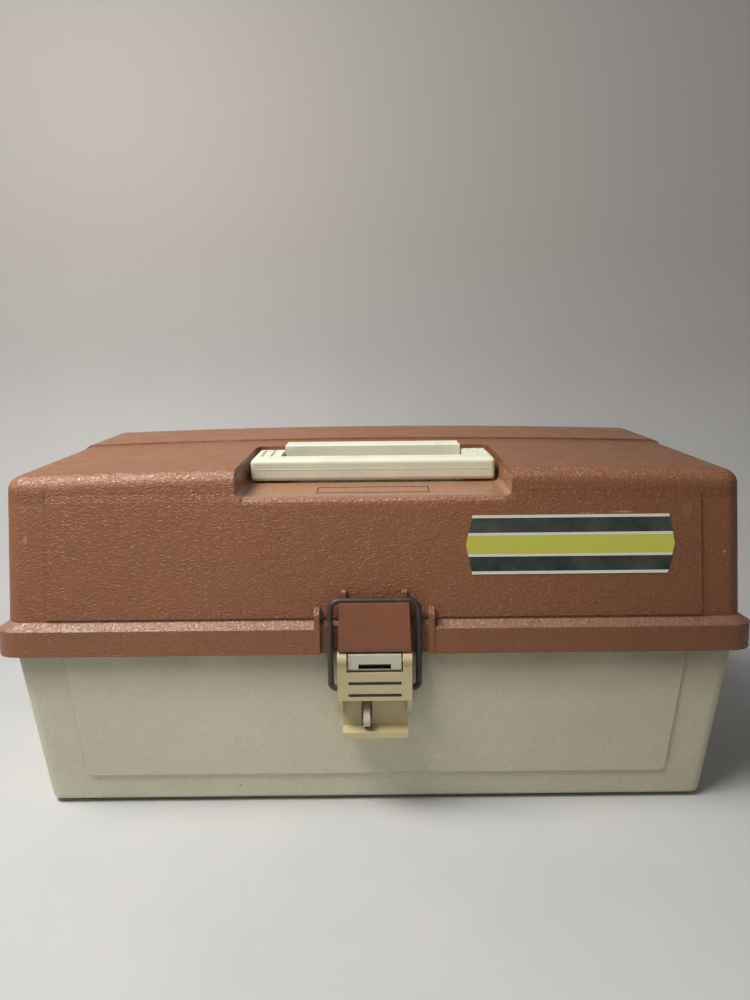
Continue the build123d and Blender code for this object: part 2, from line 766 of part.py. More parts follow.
def make_latch_lever():
    """Draw lever: front plate with a notch, hinge barrels, cheeks for the bail, finger pull with a lip."""
    plate_back = latch_face + latch_wall
    web_back = lever_web_y + lever_web_wall
    lip_top = lever_lip_bottom + lever_lip_height
    section = [
        (latch_face, latch_top - latch_bevel),
        (latch_face, lever_face_bottom),
        (lever_web_y, lever_face_bottom + latch_bevel),
        (lever_web_y, lip_top + latch_bevel),
        (lever_lip_y, lip_top),
        (lever_lip_y, lever_lip_bottom),
        (web_back, lever_lip_bottom + latch_bevel),
        (web_back, lever_face_bottom + latch_bevel + lever_web_wall),
        (plate_back, lever_face_bottom + lever_web_wall),
        (plate_back, latch_top),
        (latch_face + latch_bevel, latch_top),
    ]
    lever = side_profile(section, -lever_web_half, lever_web_half)
    barrel_radius = lever_pivot_drop
    barrel_back = lever_pivot_y + barrel_radius
    bail_back = bail_pivot_y + bail_wire_radius + bail_eye_wall
    upper = [(lever_pivot_y, latch_top), (latch_face + latch_bevel, latch_top)]
    cheek = [
        (latch_face, latch_top - latch_bevel),
        (latch_face, lever_face_bottom),
        (web_back + overlap - lever_cheek_width, lever_cheek_bottom),
        (web_back + overlap, lever_cheek_bottom),
        (bail_back, bail_pivot_z),
        (barrel_back, lever_pivot_z),
    ] + upper
    ear = [
        (latch_face, latch_top - latch_bevel),
        (latch_face, lever_notch_bottom),
        (barrel_back, lever_notch_bottom),
        (barrel_back, lever_pivot_z),
    ] + upper
    for side in (-1, 1):
        for profile, inner in ((cheek, latch_half - latch_wall), (ear, lever_notch_half)):
            lever = lever + side_profile(profile, *sorted((side * inner, side * latch_half)))
        ends = (side * lever_notch_half, side * latch_half)
        lever = lever + rod(barrel_radius, lever_pivot_y, lever_pivot_z, *ends)
    lever = lever - block(-lever_notch_half, lever_notch_half, -far, far, lever_notch_bottom, far)
    slot_half = eye_thickness / 2 + eye_slot_gap
    slot_high = lever_face_bottom - latch_bevel
    lever = lever - block(eye_x - slot_half, eye_x + slot_half, -far, far, eye_low - overlap, slot_high)
    lever = lever - rod(lever_pin_radius + running_gap, lever_pivot_y, lever_pivot_z, -far, far)
    return lever - rod(bail_wire_radius + running_gap, bail_pivot_y, bail_pivot_z, -far, far)


def make_bail():
    """Wire bail: top bar, two legs and short ends turned into the lever's cheeks."""
    stub = latch_half - latch_wall
    low = (bail_pivot_y, bail_pivot_z)
    high = (bail_bar_y, bail_bar_z)
    path = FilletPolyline(
        (-stub, *low),
        (-bail_half, *low),
        (-bail_half, *high),
        (bail_half, *high),
        (bail_half, *low),
        (stub, *low),
        radius=[bail_low_bend, bail_top_bend, bail_top_bend, bail_low_bend],
    )
    start = Plane(origin=(-stub, *low), z_dir=(-1, 0, 0))
    return sweep(start * Circle(bail_wire_radius), path=path)


def make_catch():
    """Wedge on the lid's front: a ramp that widens downward and a lip in front of the bail's bar."""
    lip_inner = bail_bar_y - bail_wire_radius - bail_play
    shelf = shoulder_top + catch_shelf_gap
    stand_off = latch_band_face - catch_stand_off
    profile = [
        (lid_front_face(shelf), shelf),
        (lid_front_face(groove_floor), groove_floor),
        (lip_inner, groove_floor),
        (lip_inner, catch_top),
        (lip_inner - catch_lip_wall, catch_top - bail_play),
        (latch_face, catch_bottom + catch_toe),
        (latch_face + bracket_set_back, catch_bottom),
        (stand_off, catch_bottom),
        (stand_off, shelf),
    ]
    outline = tapered_sides(catch_half_bottom, catch_half_top, catch_bottom, catch_top)
    return side_profile(profile, -far, far) & front_profile(outline, -far, far)


def handle_level():
    """Level of the handle's pivot, measured from the lid's top edge line."""
    return handle_floor_gap - recess_depth + handle_height / 2


def make_handle():
    """U-shaped folding handle with rounded grip and grooved arms."""
    level = handle_level()
    eye = handle_height / 2
    front = on_slope(handle_front)
    outline = RectangleRounded(eye - front, handle_height, handle_round)
    outline = Pos((front + eye) / 2, level) * outline
    body = extrude(Plane.YZ * outline, amount=handle_half, both=True)
    body = body - block(-far, far, 0, far, -far, far) + rod(eye, 0, level, -handle_half, handle_half)
    body = fillet(body.faces().filter_by(Axis.X).edges(), handle_end_round)
    inner = handle_half - handle_arm_width
    arm_front = front + grip_thickness
    body = body - block(-inner, inner, arm_front, far, -far, far)
    groove_floor_level = level + eye - handle_groove_depth
    half = handle_groove_width / 2
    for side in (-1, 1):
        for share in handle_groove_shares:
            x = side * (inner + share * handle_arm_width)
            body = body - block(x - half, x + half, arm_front, 0, groove_floor_level, far)
        ends = (side * (inner - overlap), side * (handle_half - handle_pin_cover))
        body = body - rod(handle_pin_radius + running_gap, 0, level, *ends)
    return top_plane(handle_pivot_y) * body


def mount_half():
    """Half length of the handle's mount."""
    return handle_half - handle_arm_width - mount_gap


def make_handle_mount():
    """Bar at the rear of the recess that carries the handle's pins."""
    half = mount_half()
    mount = sloped_block(-half, half, mount_front, mount_rear, -recess_depth, lid_crown + mount_proud)
    mount = fillet(mount.faces().sort_by(Axis.Z)[-1].edges(), mount_round)
    rear_foot = mount.faces().sort_by(Axis.Z)[0].edges().sort_by(Axis.Y)[-1]
    mount = chamfer(rear_foot, mount_rear + recess_floor_round - recess_rear + running_gap)
    for side in (-1, 1):
        ends = (side * (half - handle_pin_engagement), side * (half + overlap))
        mount = mount - sloped_rod(handle_pin_radius + running_gap, handle_level(), *ends)
    return mount


def make_handle_pins():
    """Two pins between the mount and the handle's arms."""
    pins = []
    for side in (-1, 1):
        inner = side * (mount_half() - handle_pin_engagement)
        outer = side * (handle_half - handle_pin_cover - overlap)
        pins.append(sloped_rod(handle_pin_radius, handle_level(), inner, outer))
    return pins


def tray_base(level):
    """Height of a tray's underside."""
    return tray_bottom + level * tray_step


def tray_rows():
    """Front and rear Y limits of the two rows of compartments, with the number of dividers."""
    half_split = tray_wall / 2
    return [
        (tray_front + tray_wall, tray_row_split - half_split, front_row_dividers),
        (tray_row_split + half_split, tray_rear - tray_wall, rear_row_dividers),
    ]


def divider_places(count):
    """X of evenly spaced dividers."""
    inner = tray_half - tray_wall
    return [-inner + 2 * inner * (place + 1) / (count + 1) for place in range(count)]


def make_tray(level):
    """Open tray with two rows of compartments, rim beads, divider grooves and pivot holes in its ends."""
    bottom = tray_base(level)
    middle = (tray_front + tray_rear) / 2
    outline = RectangleRounded(2 * tray_half, tray_rear - tray_front, tray_corner)
    tray = Pos(0, middle, bottom) * extrude(outline, amount=tray_height)
    bead_half = tray_half - tray_corner
    bead_low = bottom + tray_height - tray_bead_height
    bead_high = bottom + tray_height
    for y_from, y_to in ((tray_front - tray_bead, tray_front), (tray_rear, tray_rear + tray_bead)):
        tray = tray + block(-bead_half, bead_half, y_from, y_to, bead_low, bead_high)
    inner = tray_half - tray_wall
    low = bottom + tray_floor
    half = divider_thickness / 2 + divider_fit
    for front, rear, dividers in tray_rows():
        pocket = RectangleRounded(2 * inner, rear - front, tray_pocket_corner)
        pocket = extrude(pocket, amount=tray_height)
        tray = tray - Pos(0, (front + rear) / 2, low) * pocket
        for x in divider_places(dividers):
            tray = tray - block(x - half, x + half, front - divider_groove, rear + divider_groove, low, far)
    holes = [(rivet_radius, y, bottom + tray_pivot_height) for y in tray_pivots(level)]
    if level == 2:
        holes.append((guide_pin_radius, guide_pin_y, guide_pin_z))
    head_reach = inner - rivet_head_height - running_gap
    for side in (-1, 1):
        for radius, y, z in holes:
            tray = tray - rod(radius + running_gap, y, z, side * head_reach, side * (tray_half + overlap))
            tray = tray - rod(rivet_head_radius + running_gap, y, z, side * head_reach, side * inner)
    return tray


def make_dividers(level):
    """Removable divider plates of one tray."""
    bottom = tray_base(level) + tray_floor
    top = tray_base(level) + tray_height - divider_drop
    reach = divider_groove - divider_fit
    half = divider_thickness / 2
    plates = []
    for front, rear, dividers in tray_rows():
        for x in divider_places(dividers):
            plates.append(block(x - half, x + half, front - reach, rear + reach, bottom, top))
    return plates


def tray_pivots(level):
    """Y of a tray's rear and front pivots."""
    return [y - arm_lengths[level] * arm_run for y in arm_base_ys]


def make_tray_rivets(level):
    """Shouldered rivets that hold one tray to the four arms."""
    z = tray_base(level) + tray_pivot_height
    wall = tray_half - tray_wall
    tip = arm_outer + rivet_play
    rivets = []
    for side in (-1, 1):
        for y in tray_pivots(level):
            rivet = rod(rivet_radius, y, z, side * wall, side * tip)
            rivet = rivet + rod(rivet_head_radius, y, z, side * (wall - rivet_head_height), side * wall)
            rivet = rivet + rod(rivet_collar_radius, y, z, side * tray_half, side * (arm_inner - rivet_play))
            rivet = rivet + rod(rivet_head_radius, y, z, side * tip, side * (tip + rivet_head_height))
            rivets.append(rivet)
    return rivets


def make_base_rivets():
    """Rivets in the base's bosses that carry the arms."""
    head = arm_inner - rivet_play
    tip = boss_face + rivet_depth - overlap
    rivets = []
    for side in (-1, 1):
        for y in arm_base_ys:
            rivet = rod(rivet_radius, y, arm_base_z, side * head, side * tip)
            ends = (side * (head - rivet_head_height), side * head)
            rivets.append(rivet + rod(rivet_head_radius, y, arm_base_z, *ends))
    return rivets


def make_arm(side, y):
    """Flat arm from a boss of the base through the pivots of all three trays."""
    length = arm_lengths[2]
    middle = (y - length / 2 * arm_run, arm_base_z + length / 2 * arm_rise)
    outline = Location(middle, 180 - arm_angle) * SlotCenterToCenter(length, arm_width)
    arm = extrude(Plane.YZ * outline, amount=arm_thickness)
    arm = Pos(arm_inner if side > 0 else -arm_outer, 0, 0) * arm
    for reach in [0] + arm_lengths:
        pivot = (y - reach * arm_run, arm_base_z + reach * arm_rise)
        arm = arm - rod(rivet_radius + running_gap, *pivot, side * tray_half, side * boss_face)
    return arm


def make_guide(side):
    """Slotted plate on the lid's end wall that drives the upper tray's guide pin."""
    before, after = guide_screws()
    angle = math.degrees(math.atan2(after[1] - before[1], after[0] - before[0]))
    centre = Location(((before[0] + after[0]) / 2, (before[1] + after[1]) / 2), angle)
    outline = centre * SlotCenterToCenter(math.dist(before, after), guide_plate_height)
    track = ThreePointArc(guide_path(0), guide_path(lid_travel / 2), guide_path(lid_travel))
    outline = outline - SlotArc(track, 2 * (guide_pin_radius + guide_slot_gap))
    plate = extrude(Plane.YZ * outline, amount=guide_plate_thickness)
    return Pos(guide_inner if side > 0 else -guide_outer, 0, 0) * plate


def make_guide_pins():
    """Pins on the upper tray's ends that run in the lid's guides."""
    wall = tray_half - tray_wall
    place = (guide_pin_y, guide_pin_z)
    pins = []
    for side in (-1, 1):
        pin = rod(guide_pin_radius, *place, side * wall, side * (guide_outer + overlap))
        pin = pin + rod(rivet_head_radius, *place, side * (wall - rivet_head_height), side * wall)
        pins.append(pin + rod(rivet_head_radius, *place, side * tray_half, side * arm_inner))
    return pins


def make_label():
    """Thin plate with pointed ends on the lid's front panel."""
    draft = math.radians(lid_draft)
    origin = (label_x, lid_front_face(label_z), label_z)
    plane = Plane(origin=origin, x_dir=(1, 0, 0), z_dir=(0, -math.cos(draft), math.sin(draft)))
    edge = label_half_length - label_point
    outline = make_face(
        Polyline(
            (-edge, -label_half_height),
            (edge, -label_half_height),
            (label_half_length, 0),
            (edge, label_half_height),
            (-edge, label_half_height),
            (-label_half_length, 0),
            close=True,
        )
    )
    return extrude(plane * outline, amount=label_thickness)


def make_hinge_pin(centre):
    """Steel pin of one rear hinge."""
    half = (knuckles_per_hinge * (knuckle_length + knuckle_gap) - knuckle_gap) / 2
    return rod(hinge_pin_radius, hinge_y, hinge_z, centre - half, centre + half)


def save(name, shape):
    """Write one node, a single solid or a group of solids."""
    solids = shape if isinstance(shape, list) else [shape]
    export_step(Compound(children=[Solid(piece.solid().wrapped) for piece in solids]), f"parts/{name}.step")


save("base", make_base())
save("lid", make_lid())
save("lid_catch", make_catch())
save("front_label", make_label())
save("hinge_pin_left", make_hinge_pin(-hinge_offset))
save("hinge_pin_right", make_hinge_pin(hinge_offset))
save("handle", make_handle())
save("handle_mount", make_handle_mount())
save("handle_pins", make_handle_pins())
save("latch_bracket", make_latch_bracket())
save("latch_bracket_rivets", make_bracket_rivets())
save("latch_lever", make_latch_lever())
save("latch_lever_pin", rod(lever_pin_radius, lever_pivot_y, lever_pivot_z, -latch_half, latch_half))
save("latch_bail", make_bail())
save("base_arm_rivets", make_base_rivets())
for level, tray_name in enumerate(("lower", "middle", "upper")):
    save(f"{tray_name}_tray", make_tray(level))
    save(f"{tray_name}_tray_dividers", make_dividers(level))
    save(f"{tray_name}_tray_rivets", make_tray_rivets(level))
for side, side_name in ((-1, "left"), (1, "right")):
    save(f"rear_{side_name}_arm", make_arm(side, arm_base_ys[0]))
    save(f"front_{side_name}_arm", make_arm(side, arm_base_ys[1]))
    save(f"{side_name}_lid_guide", make_guide(side))
save("guide_pins", make_guide_pins())
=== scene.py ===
import json
import math

import bmesh
import bpy
from mathutils import Matrix, Vector


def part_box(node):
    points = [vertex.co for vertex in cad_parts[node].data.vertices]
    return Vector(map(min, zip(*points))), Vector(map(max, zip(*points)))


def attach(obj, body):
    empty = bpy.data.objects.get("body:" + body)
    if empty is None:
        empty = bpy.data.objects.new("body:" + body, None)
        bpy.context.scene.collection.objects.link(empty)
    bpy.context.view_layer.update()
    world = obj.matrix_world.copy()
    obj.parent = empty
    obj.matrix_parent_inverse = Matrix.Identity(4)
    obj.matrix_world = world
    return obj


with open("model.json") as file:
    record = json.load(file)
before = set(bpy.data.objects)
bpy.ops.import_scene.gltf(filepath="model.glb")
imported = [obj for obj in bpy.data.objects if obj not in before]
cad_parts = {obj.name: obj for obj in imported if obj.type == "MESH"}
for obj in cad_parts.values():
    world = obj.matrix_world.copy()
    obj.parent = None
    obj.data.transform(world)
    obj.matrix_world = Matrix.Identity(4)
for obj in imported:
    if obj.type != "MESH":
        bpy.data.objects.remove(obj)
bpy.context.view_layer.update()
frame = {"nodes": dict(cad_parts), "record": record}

nodes = frame["nodes"]
MM = 0.001

# Sizes of the CAD part that the finish and the added pieces follow, in millimetres
LID_SLOPE = math.radians(4.87)
TOP_EDGE_Y, TOP_EDGE_Z = -105.357, 221.0
FRONT_LIMIT_Y = -80.0
RECESS_HALF, RECESS_FRONT, RECESS_REAR, RECESS_DEPTH = 86.3, -104.5, -5.0, 13.2
RECESS_RIM_AT_MIDDLE, RECESS_REACH = 229.0, 15.5
SHOULDER_MIDDLE, SHOULDER_HALF_HEIGHT = 128.4, 2.2
GRIP_FRONT_Y = -62.0
LATCH_FACE_Y = -124.5
GUIDE_PLATE_X = 211.0
GUIDE_SCREWS = ((33.732, 185.02), (-23.019, 144.083))

# Front panel of the lid: its ends lean inward with height and run out in a slope at the top
LID_PANEL_HALF_AT_GROUND, LID_PANEL_LEAN = 211.02, -0.0355
LID_PANEL_MIDDLE, LID_PANEL_HALF_HEIGHT, LID_PANEL_LIMIT_Y = 173.5, 41.5, -102.0
SLOPE_LOW, SLOPE_HIGH, SLOPE_EDGE = 204.8, 210.8, 1.5
SLOPE_INNER_X, SLOPE_LIMIT_Y = 88.0, -98.0

# Front panel of the base: its ends lean outward with height
BASE_PANEL_HALF_BOTTOM, BASE_PANEL_HALF_TOP = 192.0, 198.3
BASE_PANEL_BOTTOM, BASE_PANEL_TOP, BASE_PANEL_CORNER = 21.5, 110.0, 5.5

# Lines on the lever's front, and the slot in the latch's block with depths behind the latch's face
LINE_LEVELS, LINE_HALF_LENGTH, LINE_HALF_HEIGHT, LINE_DEPTH = (94.3, 86.6), 16.4, 0.95, 0.2
SLOT_HALF, SLOT_MIDDLE, SLOT_HALF_HEIGHT = 10.2, 104.9, 1.6
SLOT_FRONT, SLOT_REAR = 0.8, 6.5

# Colours of wear, specks and print, and of painted highlights, reflection, shadow and shade
RUBBED = (0.62, 0.5, 0.42)
RECESS_REFLECTION = (0.45, 0.27, 0.17)
SHOULDER_HIGHLIGHT = (0.4, 0.33, 0.29)
LID_SHADE_BROWN = (0.1, 0.03, 0.006)
LID_STEP_SHADE = (0.06, 0.025, 0.014)
BASE_STEP_SHADE = (0.2, 0.16, 0.1)
SHADOW_TAN = (0.26, 0.215, 0.135)
SPECK = (0.1, 0.08, 0.06)
PRINT_BLACK = (0.008, 0.007, 0.006)
SLOT_SHADE = (0.012, 0.011, 0.01)


class Finish:
    """A node material that is put together step by step."""

    def __init__(self, name):
        self.material = bpy.data.materials.new(name)
        self.material.use_nodes = True
        self.tree = self.material.node_tree
        self.tree.nodes.clear()
        self.output = self.add("ShaderNodeOutputMaterial")
        self.shader = self.add("ShaderNodeBsdfPrincipled")
        self.tree.links.new(self.shader.outputs[0], self.output.inputs["Surface"])
        self.place = self.add("ShaderNodeTexCoord").outputs["Object"]

    def add(self, kind, **settings):
        node = self.tree.nodes.new(kind)
        for key, value in settings.items():
            setattr(node, key, value)
        return node

    def feed(self, socket, value):
        if isinstance(value, bpy.types.NodeSocket):
            self.tree.links.new(value, socket)
        elif value is not None:
            socket.default_value = value

    def set(self, **values):
        for key, value in values.items():
            self.feed(self.shader.inputs[key.replace("_", " ")], value)

    def noise(self, scale, detail=3.0, roughness=0.5, distortion=0.0, at=None):
        node = self.add("ShaderNodeTexNoise")
        self.feed(node.inputs["Vector"], at or self.place)
        for key, value in (("Scale", scale), ("Detail", detail), ("Roughness", roughness)):
            self.feed(node.inputs[key], value)
        self.feed(node.inputs["Distortion"], distortion)
        return node.outputs["Fac"]

    def noise_vector(self, scale, detail=2.0):
        node = self.add("ShaderNodeTexNoise")
        self.feed(node.inputs["Vector"], self.place)
        self.feed(node.inputs["Scale"], scale)
        self.feed(node.inputs["Detail"], detail)
        return node.outputs["Color"]

    def warp(self, amount, scale, stretch=(1, 1, 1), turn=0.0):
        """The place, shaken by noise, turned about the Y axis and stretched."""
        shaken = self.add("ShaderNodeVectorMath", operation="MULTIPLY_ADD")
        self.feed(shaken.inputs[0], self.noise_vector(scale))
        shaken.inputs[1].default_value = (amount,) * 3
        self.feed(shaken.inputs[2], self.place)
        node = self.add("ShaderNodeMapping")
        self.feed(node.inputs["Vector"], shaken.outputs[0])
        node.inputs["Rotation"].default_value = (0.0, turn, 0.0)
        node.inputs["Scale"].default_value = stretch
        return node.outputs[0]

    def math(self, operation, a, b=0.0, c=0.0, clamp=False):
        node = self.add("ShaderNodeMath", operation=operation, use_clamp=clamp)
        for socket, value in zip(node.inputs, (a, b, c)):
            self.feed(socket, value)
        return node.outputs[0]

    def range(self, value, low, high, to_low=0.0, to_high=1.0):
        node = self.add("ShaderNodeMapRange")
        for socket, item in zip(node.inputs, (value, low, high, to_low, to_high)):
            self.feed(socket, item)
        return node.outputs[0]

    def span(self, value, low, high, to_low=0.0, to_high=1.0):
        """Like range, with its limits in millimetres."""
        return self.range(value, low * MM, high * MM, to_low, to_high)

    def within(self, value, middle, half):
        """1 within half of a middle, both in millimetres."""
        return self.math("COMPARE", value, middle * MM, half * MM)

    def below(self, value, limit):
        """1 below a limit in millimetres."""
        return self.math("LESS_THAN", value, limit * MM)

    def above(self, value, limit):
        """1 above a limit in millimetres."""
        return self.math("GREATER_THAN", value, limit * MM)

    def all(self, *masks):
        """1 where every mask is 1."""
        together = masks[0]
        for mask in masks[1:]:
            together = self.math("MULTIPLY", together, mask)
        return together

    def ramp(self, value, stops, interpolation="LINEAR"):
        node = self.add("ShaderNodeValToRGB")
        node.color_ramp.interpolation = interpolation
        elements = node.color_ramp.elements
        while len(elements) < len(stops):
            elements.new(1.0)
        for element, (position, color) in zip(elements, stops):
            element.position = position
            element.color = (*color, 1.0)
        self.feed(node.inputs[0], value)
        return node.outputs[0]

    def mix(self, amount, a, b, blend="MIX"):
        node = self.add("ShaderNodeMix", data_type="RGBA", blend_type=blend)
        self.feed(node.inputs["Factor"], amount)
        for socket, value in ((node.inputs[6], a), (node.inputs[7], b)):
            self.feed(socket, (*value, 1.0) if isinstance(value, tuple) else value)
        return node.outputs[2]

    def axes(self):
        node = self.add("ShaderNodeSeparateXYZ")
        self.feed(node.inputs[0], self.place)
        return node.outputs

    def edges(self, radius):
        """0 on flat faces, rising at edges and corners."""
        soft = self.add("ShaderNodeBevel", samples=4)
        soft.inputs["Radius"].default_value = radius
        flat = self.add("ShaderNodeNewGeometry")
        dot = self.add("ShaderNodeVectorMath", operation="DOT_PRODUCT")
        self.feed(dot.inputs[0], soft.outputs[0])
        self.feed(dot.inputs[1], flat.outputs["Normal"])
        return self.math("SUBTRACT", 1.0, dot.outputs["Value"], clamp=True)

    def upward(self):
        """Upward part of the piece's own normal, which stays with the piece as it moves."""
        parts = self.add("ShaderNodeSeparateXYZ")
        self.feed(parts.inputs[0], self.add("ShaderNodeTexCoord").outputs["Normal"])
        return parts.outputs[2]

    def upper_edges(self):
        """1 on rounded edges that face half upward at rest, which handling has made glossier, and which
        carry a painted highlight.
        """
        upward = self.upward()
        below_top = self.range(upward, 0.9, 0.985, 1.0, 0.0)
        return self.math("MULTIPLY", self.range(upward, 0.15, 0.45), below_top)

    def rounded(self, radius):
        """Normal with small rounded edges."""
        soft = self.add("ShaderNodeBevel", samples=4)
        soft.inputs["Radius"].default_value = radius
        return soft.outputs[0]

    def bump(self, height, distance, strength=1.0, normal=None):
        node = self.add("ShaderNodeBump")
        self.feed(node.inputs["Height"], height)
        self.feed(node.inputs["Distance"], distance)
        self.feed(node.inputs["Strength"], strength)
        self.feed(node.inputs["Normal"], normal)
        return node.outputs[0]


def grained_plastic(name, color, grain, depth, roughness, wear_and_highlight_color, smooth=None, edge_polish_and_highlight=None, scars_and_shade=None):
    """Moulded plastic with fine leather wrinkles, colour drift, scuffs and worn edges; painted shade in the
    creases, painted highlights on the pebbles and the upper edges, and more marks and painted light and
    shade from its callback.
    """
    f = Finish(name)
    shaken = f.warp(0.45 / grain, grain * 0.4, (0.6, 0.6, 1.0), math.radians(-28))
    folds = f.noise(grain, 2.0, 0.5, 0.6, shaken)
    creases = f.range(f.math("ABSOLUTE", f.math("SUBTRACT", folds, 0.5)), 0.0, 0.09)
    pebbles = f.noise(grain * 1.5, 2.0, 0.55, 0.4, shaken)
    fine = f.noise(grain * 2.8, 2.0, 0.6)
    height = f.math("MULTIPLY_ADD", creases, 0.36, pebbles)
    height = f.math("MULTIPLY_ADD", fine, 0.3, height)
    amount = depth
    gloss = f.range(f.noise(60.0, 4.0), 0.3, 0.7, roughness - 0.06, roughness + 0.08)
    polish_and_highlight_share = edge_polish_and_highlight(f) if edge_polish_and_highlight is not None else 0.0
    gloss = f.math("MULTIPLY_ADD", polish_and_highlight_share, -0.08, gloss)
    if smooth is not None:
        share = smooth(f)
        amount = f.math("MULTIPLY", share, depth)
        gloss = f.math("MULTIPLY", gloss, f.range(share, 0.0, 1.0, 0.7, 1.0))
    drift = f.noise(7.0, 4.0, 0.6)
    dark = tuple(c * 0.9 for c in color)
    light = tuple(min(1.0, c * 1.08) for c in color)
    tone = f.ramp(drift, [(0.3, dark), (0.5, color), (0.72, light)])
    # Painted shade in the creases of the grain.
    tone = f.mix(f.range(creases, 0.0, 1.0, 0.2, 0.0), tone, tuple(c * 0.5 for c in color))
    # Painted highlight on the tops of the pebbles.
    tone = f.mix(f.range(pebbles, 0.52, 0.72, 0.0, 0.1), tone, wear_and_highlight_color)
    # Painted highlight on the upper rounded edges.
    edge_highlight = f.math("MULTIPLY", polish_and_highlight_share, f.range(pebbles, 0.42, 0.66, 0.1, 0.55))
    tone = f.mix(edge_highlight, tone, wear_and_highlight_color)
    patches = f.noise(45.0, 5.0, 0.65)
    worn = f.math("MULTIPLY", f.edges(2.2 * MM), f.range(patches, 0.42, 0.66), clamp=True)
    tone = f.mix(f.math("MULTIPLY", worn, 0.45), tone, wear_and_highlight_color)
    scuffs = f.noise(130.0, 6.0, 0.75, at=f.warp(0.01, 25.0, (0.25, 1.0, 1.0)))
    scuffs = f.range(scuffs, 0.76, 0.82)
    tone = f.mix(f.math("MULTIPLY", scuffs, 0.14), tone, wear_and_highlight_color)
    if scars_and_shade is not None:
        tone = scars_and_shade(f, tone)
    normal = f.bump(height, amount, 1.0, f.rounded(0.7 * MM))
    f.set(Base_Color=tone, Roughness=gloss, Normal=normal, Specular_IOR_Level=0.55)
    return f


def smooth_plastic(name, color, roughness=0.42, grime_and_shade=(0.12, 0.1, 0.07), grime_and_shade_share=0.25, marks=None):
    """Smooth moulded plastic with colour drift, corners darkened by soiling and painted shade, fine
    scratches and soft edges.
    """
    f = Finish(name)
    drift = f.noise(22.0, 4.0, 0.6)
    dark = tuple(c * 0.9 for c in color)
    light = tuple(min(1.0, c * 1.06) for c in color)
    tone = f.ramp(drift, [(0.3, dark), (0.5, color), (0.7, light)])
    # Corners darkened by ambient occlusion, made patchy by noise: soiling and painted shade.
    hidden = f.add("ShaderNodeAmbientOcclusion", samples=6)
    hidden.inputs["Distance"].default_value = 5 * MM
    corner = f.range(hidden.outputs["AO"], 0.25, 0.85, 1.0, 0.0)
    corner_grime_and_shade = f.math("MULTIPLY", corner, f.range(f.noise(160.0, 5.0, 0.7), 0.3, 0.7))
    tone = f.mix(f.math("MULTIPLY", corner_grime_and_shade, grime_and_shade_share), tone, grime_and_shade)
    if marks is not None:
        tone = marks(f, tone)
    scratch = f.noise(420.0, 3.0, 0.6, at=f.warp(0.004, 40.0, (0.08, 1.0, 1.0)))
    waves = f.noise(260.0, 3.0)
    height = f.math("MULTIPLY_ADD", scratch, 0.5, waves)
    gloss = f.range(f.noise(90.0, 4.0), 0.3, 0.7, roughness - 0.07, roughness + 0.09)
    normal = f.bump(height, 0.06 * MM, 1.0, f.rounded(0.45 * MM))
    f.set(Base_Color=tone, Roughness=gloss, Normal=normal, Specular_IOR_Level=0.5)
    return f


def metal(name, color, roughness, tarnish, tarnish_share):
    """Plated or oxidised steel with fine brushing and tarnished patches."""
    f = Finish(name)
    patches = f.range(f.noise(70.0, 6.0, 0.7), 0.4, 0.68)
    tone = f.mix(f.math("MULTIPLY", patches, tarnish_share), color, tarnish)
    brush = f.noise(900.0, 3.0, 0.6, at=f.warp(0.002, 50.0, (0.1, 1.0, 1.0)))
    gloss = f.range(patches, 0.0, 1.0, roughness, roughness + 0.22)
    normal = f.bump(brush, 0.03 * MM, 1.0, f.rounded(0.3 * MM))
    f.set(Base_Color=tone, Roughness=gloss, Normal=normal, Metallic=1.0)
    return f


def coated_wire(name, color, worn):
    """Dark coated wire whose coat is rubbed through in places."""
    f = Finish(name)
    rub = f.range(f.noise(240.0, 5.0, 0.7), 0.55, 0.75)
    tone = f.mix(f.math("MULTIPLY", rub, 0.5), color, worn)
    normal = f.bump(f.noise(1100.0, 3.0), 0.04 * MM)
    gloss = f.range(rub, 0.0, 1.0, 0.46, 0.34)
    f.set(Base_Color=tone, Roughness=gloss, Normal=normal, Metallic=f.range(rub, 0.0, 1.0, 0.25, 0.85))
    return f


def striped_label(name):
    """Printed plate with plain stripes along its length, slightly faded."""
    f = Finish(name)
    low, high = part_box("front_label")
    height = f.range(f.axes()[2], low.z, high.z)
    cream = (0.72, 0.74, 0.66)
    lime = (0.56, 0.56, 0.07)
    green = (0.012, 0.024, 0.018)
    stripes = [
        (0.0, cream), (0.05, green), (0.3, cream), (0.34, lime), (0.66, cream), (0.7, green), (0.95, cream),
    ]
    tone = f.ramp(height, stripes, "CONSTANT")
    fade = f.range(f.noise(60.0, 5.0, 0.6), 0.3, 0.75, 0.0, 0.12)
    tone = f.mix(fade, tone, (0.6, 0.6, 0.5))
    normal = f.bump(f.noise(500.0, 2.0), 0.02 * MM)
    f.set(Base_Color=tone, Roughness=f.range(f.noise(90.0, 4.0), 0.3, 0.7, 0.3, 0.42), Normal=normal)
    return f


# Share of the grain that is left on the floor and the walls of the recess
FAINT_GRAIN = 0.3


def recess_mask(f):
    """Share of the grain: full outside the handle's recess, faint on its floor and walls."""
    x, y, z = f.axes()
    rim = f.math("MULTIPLY_ADD", y, math.tan(LID_SLOPE), RECESS_RIM_AT_MIDDLE * MM)
    inside = f.all(
        f.below(f.math("ABSOLUTE", x), RECESS_HALF),
        f.below(y, RECESS_REAR),
        f.above(y, RECESS_FRONT),
        f.math("LESS_THAN", z, rim),
        f.above(f.math("SUBTRACT", z, rim), -RECESS_REACH),
    )
    return f.range(inside, 0.0, 1.0, 1.0, FAINT_GRAIN)


